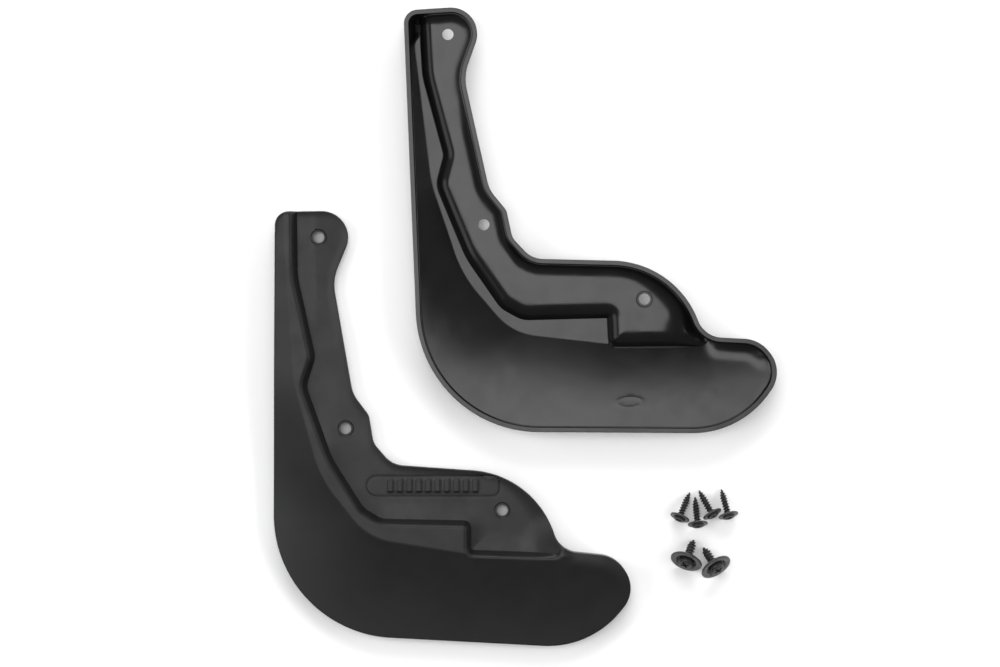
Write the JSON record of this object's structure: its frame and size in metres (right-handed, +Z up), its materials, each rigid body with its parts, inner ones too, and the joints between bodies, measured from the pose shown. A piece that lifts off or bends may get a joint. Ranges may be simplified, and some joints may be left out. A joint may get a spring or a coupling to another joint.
{
  "type": "mud flap",
  "caption": "Moulded splash guards for both sides of a vehicle: curved lower blade, raised panel, sunk screw flange and upright arm, with self-tapping screws and captive washers.",
  "frame": {"origin": "centre of the set's plan box, on the surface that it lies on", "axes": "+Z up from the surface; +Y along the flaps' arms, the set's longest way; +X across the lower blades"},
  "size_m": [0.3256, 0.4131, 0.0183],
  "materials": {
    "flap": "black moulded plastic, fine grained outer face and smoother back",
    "screw": "steel with a dark grey corrosion coat",
    "washer": "pressed steel with a satin dark grey coat"
  },
  "bodies": {
    "left_flap": {"left_mud_flap": "flap"},
    "right_flap": {"right_mud_flap": "flap"},
    "small_screw_1": {"small_screw_1": "screw"},
    "small_washer_1": {"small_washer_1": "washer"},
    "small_screw_2": {"small_screw_2": "screw"},
    "small_washer_2": {"small_washer_2": "washer"},
    "small_screw_3": {"small_screw_3": "screw"},
    "small_washer_3": {"small_washer_3": "washer"},
    "small_screw_4": {"small_screw_4": "screw"},
    "small_washer_4": {"small_washer_4": "washer"},
    "large_screw_1": {"large_screw_1": "screw"},
    "large_washer_1": {"large_washer_1": "washer"},
    "large_screw_2": {"large_screw_2": "screw"},
    "large_washer_2": {"large_washer_2": "washer"}
  },
  "joints": [
    {"name": "right_flap_lift", "type": "slide", "parent": "left_flap", "child": "right_flap", "axis": [0, 0, 1], "range_m": [0, 0.06]},
    {"name": "small_screw_1_lift", "type": "slide", "parent": "left_flap", "child": "small_screw_1", "axis": [0, 0, 1], "range_m": [0, 0.05]},
    {"name": "small_washer_1_spin", "type": "hinge", "parent": "small_screw_1", "child": "small_washer_1", "pos_m": [0.10072, -0.12284, 0.00614], "axis": [0.3691, 0.8696, -0.328], "continuous": true},
    {"name": "small_screw_2_lift", "type": "slide", "parent": "left_flap", "child": "small_screw_2", "axis": [0, 0, 1], "range_m": [0, 0.05]},
    {"name": "small_washer_2_spin", "type": "hinge", "parent": "small_screw_2", "child": "small_washer_2", "pos_m": [0.11212, -0.12704, 0.00614], "axis": [-0.0823, 0.9411, -0.328], "continuous": true},
    {"name": "small_screw_3_lift", "type": "slide", "parent": "left_flap", "child": "small_screw_3", "axis": [0, 0, 1], "range_m": [0, 0.05]},
    {"name": "small_washer_3_spin", "type": "hinge", "parent": "small_screw_3", "child": "small_washer_3", "pos_m": [0.12132, -0.12064, 0.00614], "axis": [-0.458, 0.8262, -0.328], "continuous": true},
    {"name": "small_screw_4_lift", "type": "slide", "parent": "left_flap", "child": "small_screw_4", "axis": [0, 0, 1], "range_m": [0, 0.05]},
    {"name": "small_washer_4_spin", "type": "hinge", "parent": "small_screw_4", "child": "small_washer_4", "pos_m": [0.13192, -0.12144, 0.00614], "axis": [-0.2365, 0.9146, -0.328], "continuous": true},
    {"name": "large_screw_1_lift", "type": "slide", "parent": "left_flap", "child": "large_screw_1", "axis": [0, 0, 1], "range_m": [0, 0.05]},
    {"name": "large_washer_1_spin", "type": "hinge", "parent": "large_screw_1", "child": "large_washer_1", "pos_m": [0.10472, -0.15104, 0.00892], "axis": [0.3182, 0.7876, -0.5277], "continuous": true},
    {"name": "large_screw_2_lift", "type": "slide", "parent": "left_flap", "child": "large_screw_2", "axis": [0, 0, 1], "range_m": [0, 0.05]},
    {"name": "large_washer_2_spin", "type": "hinge", "parent": "large_screw_2", "child": "large_washer_2", "pos_m": [0.12352, -0.15484, 0.00892], "axis": [-0.4564, 0.7164, -0.5277], "continuous": true}
  ]
}
